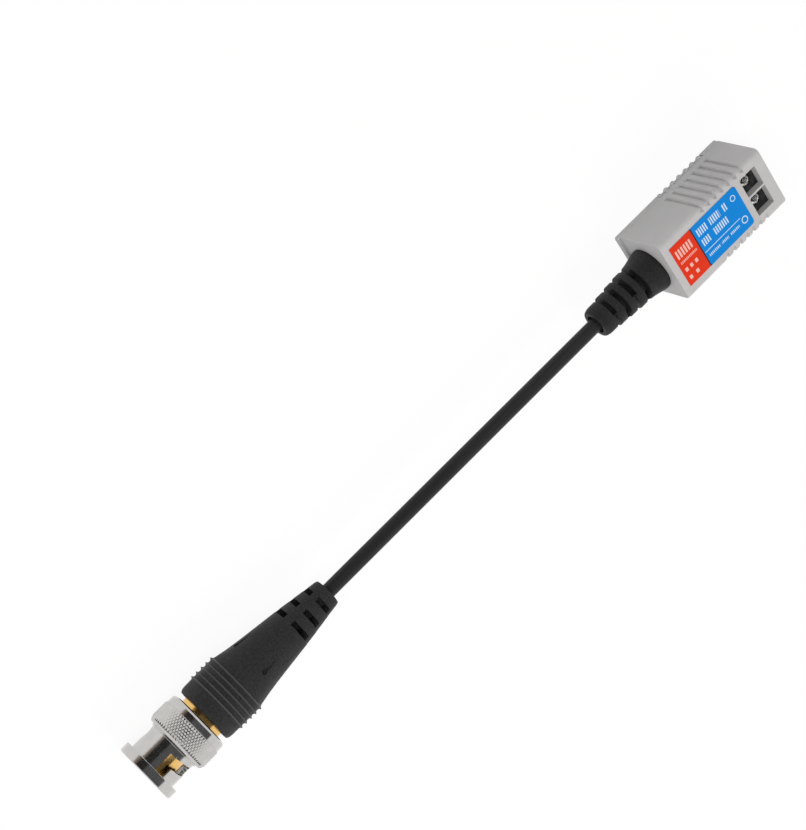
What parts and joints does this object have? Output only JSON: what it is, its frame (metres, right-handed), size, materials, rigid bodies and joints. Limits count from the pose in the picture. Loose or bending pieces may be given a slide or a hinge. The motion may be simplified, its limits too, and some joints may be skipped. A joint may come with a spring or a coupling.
{
  "type": "passive video balun",
  "caption": "Small moulded case with screw terminals for a twisted pair, joined by a short coaxial cable to a bayonet plug with a sprung knurled coupling nut.",
  "frame": {"origin": "under the middle of the case, on its back face", "axes": "+X from the plug to the terminals along the cable, +Z out of the label, +Y to the side with the left terminal"},
  "size_m": [0.1807, 0.0152, 0.0151],
  "materials": {
    "grey_plastic": "fine spark-eroded matt grey ABS",
    "label_print": "printed film, one field red and one blue",
    "black_rubber": "moulded PVC, satin",
    "black_jacket": "extruded PVC cable jacket, smooth",
    "nickel": "nickel-plated turned metal, bright",
    "gold": "gold-flashed turned brass, bright",
    "white_insulator": "white moulded insulator",
    "seal_rubber": "silicone seal",
    "spring_steel": "bright strip",
    "turned_brass": "plain turned",
    "board_green": "glass-epoxy board with solder mask",
    "ferrite": "sintered ferrite, dull",
    "copper_wire": "enamelled copper",
    "ceramic": "dipped ceramic",
    "diode_black": "moulded epoxy",
    "block_black": "moulded polyamide",
    "zinc_steel": "nickel-plated steel",
    "tinned_brass": "tinned strip",
    "core_white": "polyethylene insulation",
    "braid_copper": "tinned copper braid"
  },
  "bodies": {
    "housing": {"front_shell": "grey_plastic", "back_cover": "grey_plastic", "label": "label_print", "circuit_board": "board_green", "ferrite_core": "ferrite", "winding_line": "copper_wire", "winding_coax": "copper_wire", "ceramic_capacitors": "ceramic", "surge_diode": "diode_black", "terminal_block": "block_black", "core_tail": "core_white", "braid_tail": "braid_copper", "strain_relief": "black_rubber", "coax_cable": "black_jacket", "plug_body": "gold", "plug_insulator": "white_insulator", "centre_pin": "gold", "gasket": "seal_rubber", "core_end": "core_white", "braid_end": "braid_copper", "crimp_ferrule": "turned_brass", "rubber_boot": "black_rubber", "contact_bar_left": "tinned_brass", "contact_bar_right": "tinned_brass"},
    "nut_washers": {"thrust_washer": "turned_brass", "wave_washer": "spring_steel"},
    "nut": {"coupling_nut": "nickel", "retaining_ring": "spring_steel"},
    "screw_left": {"terminal_screw_left": "zinc_steel"},
    "cage_left": {"wire_cage_left": "zinc_steel"},
    "screw_right": {"terminal_screw_right": "zinc_steel"},
    "cage_right": {"wire_cage_right": "zinc_steel"}
  },
  "joints": [
    {"name": "nut_slide", "type": "slide", "parent": "housing", "child": "nut_washers", "axis": [-1, 0, 0], "range_m": [0, 0.0008], "stiffness_N_per_m": 8000},
    {"name": "nut_turn", "type": "hinge", "parent": "nut_washers", "child": "nut", "pos_m": [-0.15725, 0, 0.0075], "axis": [1, 0, 0], "continuous": true},
    {"name": "screw_left_turn", "type": "hinge", "parent": "housing", "child": "screw_left", "pos_m": [0.01045, 0.00254, 0.0124], "axis": [0, 0, -1], "range_deg": [0, 1224]},
    {"name": "cage_left_lift", "type": "slide", "parent": "housing", "child": "cage_left", "axis": [0, 0, 1], "range_m": [0, 0.0017]},
    {"name": "screw_right_turn", "type": "hinge", "parent": "housing", "child": "screw_right", "pos_m": [0.01045, -0.00254, 0.0124], "axis": [0, 0, -1], "range_deg": [0, 1224]},
    {"name": "cage_right_lift", "type": "slide", "parent": "housing", "child": "cage_right", "axis": [0, 0, 1], "range_m": [0, 0.0017]}
  ],
  "couplings": [
    {"joint": "screw_left_turn", "follows": "cage_left_lift", "rad_per_m": 12566},
    {"joint": "screw_right_turn", "follows": "cage_right_lift", "rad_per_m": 12566}
  ]
}
